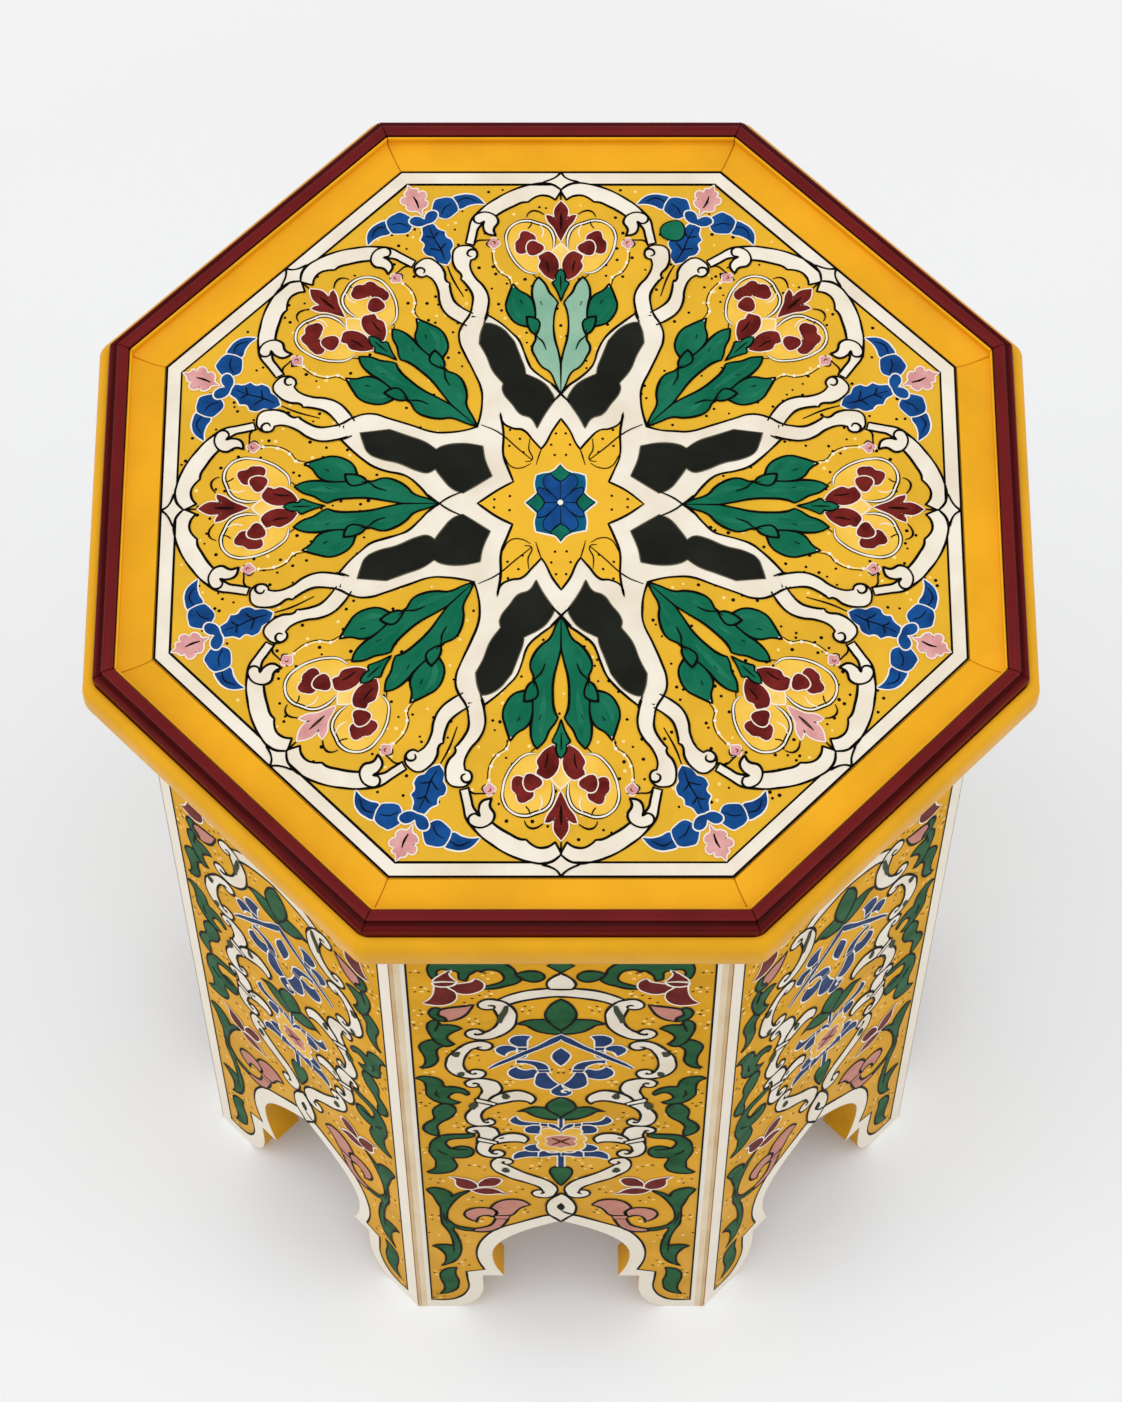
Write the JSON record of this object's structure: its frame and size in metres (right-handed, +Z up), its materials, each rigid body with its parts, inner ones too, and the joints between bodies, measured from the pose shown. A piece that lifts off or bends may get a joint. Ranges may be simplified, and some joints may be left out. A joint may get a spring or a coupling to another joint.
{
  "type": "octagonal nightstand",
  "caption": "Octagonal wooden nightstand with a framed, painted top and mitred side panels whose cusped arches leave corner feet.",
  "frame": {"origin": "on the floor, under the middle of the top", "axes": "+Z up, -Y towards the front panel, +X to the right of someone facing that panel"},
  "size_m": [0.456, 0.456, 0.606],
  "materials": {
    "board_paint": "ochre ground with floral paint under satin lacquer",
    "panel_paint": "ochre ground with floral paint under satin lacquer",
    "cove_yellow": "gloss yellow paint",
    "rail_yellow": "gloss yellow paint",
    "bead_crimson": "gloss crimson paint",
    "raw_wood": "bare pine",
    "screw_steel": "plain steel"
  },
  "bodies": {
    "root": {"top_board": "board_paint", "cove_front": "cove_yellow", "cove_front_right": "cove_yellow", "cove_right": "cove_yellow", "cove_back_right": "cove_yellow", "cove_back": "cove_yellow", "cove_back_left": "cove_yellow", "cove_left": "cove_yellow", "cove_front_left": "cove_yellow", "bead_front": "bead_crimson", "bead_front_right": "bead_crimson", "bead_right": "bead_crimson", "bead_back_right": "bead_crimson", "bead_back": "bead_crimson", "bead_back_left": "bead_crimson", "bead_left": "bead_crimson", "bead_front_left": "bead_crimson", "rail_front": "rail_yellow", "rail_front_right": "rail_yellow", "rail_right": "rail_yellow", "rail_back_right": "rail_yellow", "rail_back": "rail_yellow", "rail_back_left": "rail_yellow", "rail_left": "rail_yellow", "rail_front_left": "rail_yellow", "side_panel_front": "panel_paint", "side_panel_front_right": "panel_paint", "side_panel_right": "panel_paint", "side_panel_back_right": "panel_paint", "side_panel_back": "panel_paint", "side_panel_back_left": "panel_paint", "side_panel_left": "panel_paint", "side_panel_front_left": "panel_paint", "corner_block_front": "raw_wood", "corner_block_front_right": "raw_wood", "corner_block_right": "raw_wood", "corner_block_back_right": "raw_wood", "corner_block_back": "raw_wood", "corner_block_back_left": "raw_wood", "corner_block_left": "raw_wood", "corner_block_front_left": "raw_wood", "cleat_front": "raw_wood", "cleat_right": "raw_wood", "cleat_back": "raw_wood", "cleat_left": "raw_wood", "top_screw_front_left": "screw_steel", "top_screw_front_right": "screw_steel", "top_screw_right_left": "screw_steel", "top_screw_right_right": "screw_steel", "top_screw_back_left": "screw_steel", "top_screw_back_right": "screw_steel", "top_screw_left_left": "screw_steel", "top_screw_left_right": "screw_steel"}
  },
  "joints": []
}
